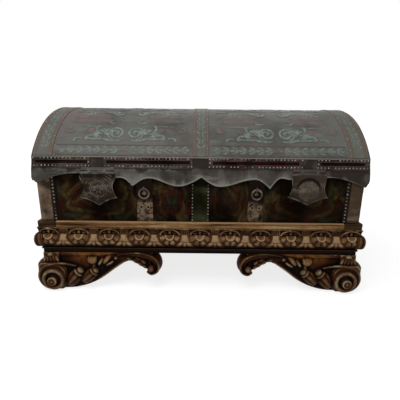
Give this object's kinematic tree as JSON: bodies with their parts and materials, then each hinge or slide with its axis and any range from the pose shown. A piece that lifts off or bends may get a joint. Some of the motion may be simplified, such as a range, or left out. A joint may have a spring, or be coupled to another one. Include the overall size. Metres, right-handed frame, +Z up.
{
  "type": "leather chest on stand",
  "caption": "Leather-covered chest with a hinged barrel lid, hasps, drop rings and end handles, standing loose on a carved stand with scroll feet.",
  "frame": {"origin": "on the floor under the middle of the stand", "axes": "+X along the chest to the right seen from the front, +Y to the back, +Z up"},
  "size_m": [1.156, 0.624, 0.6423],
  "materials": {
    "gilt_wood": "carved walnut with worn gilding",
    "dark_wood": "dark stained wood",
    "board_wood": "bare softwood boards",
    "lid_leather": "painted and worn leather, grey green",
    "body_leather": "dark painted leather",
    "worn_leather": "pale rubbed leather",
    "green_leather": "dark green leather",
    "red_leather": "dark red leather",
    "iron": "dull worn iron"
  },
  "bodies": {
    "stand": {"corner_block_back_left": "dark_wood", "corner_block_back_right": "dark_wood", "corner_block_front_left": "dark_wood", "corner_block_front_right": "dark_wood", "foot_back_left": "gilt_wood", "foot_back_right": "gilt_wood", "foot_front_left": "gilt_wood", "foot_front_right": "gilt_wood", "rail_back": "gilt_wood", "rail_front": "gilt_wood", "rail_left": "gilt_wood", "rail_right": "gilt_wood", "strip_back": "gilt_wood", "strip_front": "gilt_wood", "strip_left": "gilt_wood", "strip_right": "gilt_wood"},
    "chest": {"back_board": "board_wood", "body_leather": "body_leather", "bottom_board": "board_wood", "centre_band": "green_leather", "corner_strap_back_left": "worn_leather", "corner_strap_back_right": "worn_leather", "corner_strap_front_left": "worn_leather", "corner_strap_front_right": "worn_leather", "front_board": "board_wood", "handle_plate_left": "iron", "handle_plate_right": "iron", "hinge_body_left": "iron", "hinge_body_right": "iron", "iron_strap_left": "iron", "iron_strap_right": "iron", "left_board": "board_wood", "lock_left": "iron", "lock_right": "iron", "right_board": "board_wood", "ring_staple_left": "iron", "ring_staple_right": "iron"},
    "lid": {"dome_boards": "board_wood", "dome_leather": "lid_leather", "end_leather_left": "lid_leather", "end_leather_right": "lid_leather", "fascia_strip_inner_left": "red_leather", "fascia_strip_inner_right": "red_leather", "fascia_strip_outer_left": "red_leather", "fascia_strip_outer_right": "red_leather", "front_skirt": "lid_leather", "hasp_hinge_left": "iron", "hasp_hinge_right": "iron", "hinge_lid_left": "iron", "hinge_lid_right": "iron", "lid_back_rail": "board_wood", "lid_front_rail": "board_wood", "lid_left_end": "board_wood", "lid_right_end": "board_wood"},
    "hasp_left": {"hasp_left": "worn_leather"},
    "hasp_right": {"hasp_right": "worn_leather"},
    "ring_left": {"ring_left": "iron"},
    "ring_right": {"ring_right": "iron"},
    "handle_left": {"handle_left": "iron"},
    "handle_right": {"handle_right": "iron"}
  },
  "joints": [
    {"name": "chest_lift", "type": "slide", "parent": "stand", "child": "chest", "axis": [0, 0, 1], "range_m": [0, 0.2]},
    {"name": "lid_hinge", "type": "hinge", "parent": "chest", "child": "lid", "pos_m": [0, 0.301, 0.4363], "axis": [-1, 0, 0], "range_deg": [0, 100]},
    {"name": "hasp_left_hinge", "type": "hinge", "parent": "lid", "child": "hasp_left", "pos_m": [-0.338, -0.3005, 0.4328], "axis": [-1, 0, 0], "range_deg": [0, 100]},
    {"name": "hasp_right_hinge", "type": "hinge", "parent": "lid", "child": "hasp_right", "pos_m": [0.356, -0.3005, 0.4328], "axis": [-1, 0, 0], "range_deg": [0, 100]},
    {"name": "ring_left_hinge", "type": "hinge", "parent": "chest", "child": "ring_left", "pos_m": [-0.188, -0.298, 0.3768], "axis": [-1, 0, 0], "range_deg": [0, 90]},
    {"name": "ring_right_hinge", "type": "hinge", "parent": "chest", "child": "ring_right", "pos_m": [0.188, -0.298, 0.3768], "axis": [-1, 0, 0], "range_deg": [0, 90]},
    {"name": "handle_left_hinge", "type": "hinge", "parent": "chest", "child": "handle_left", "pos_m": [-0.5593, 0, 0.3493], "axis": [0, 1, 0], "range_deg": [0, 90]},
    {"name": "handle_right_hinge", "type": "hinge", "parent": "chest", "child": "handle_right", "pos_m": [0.5593, 0, 0.3493], "axis": [0, -1, 0], "range_deg": [0, 90]}
  ]
}
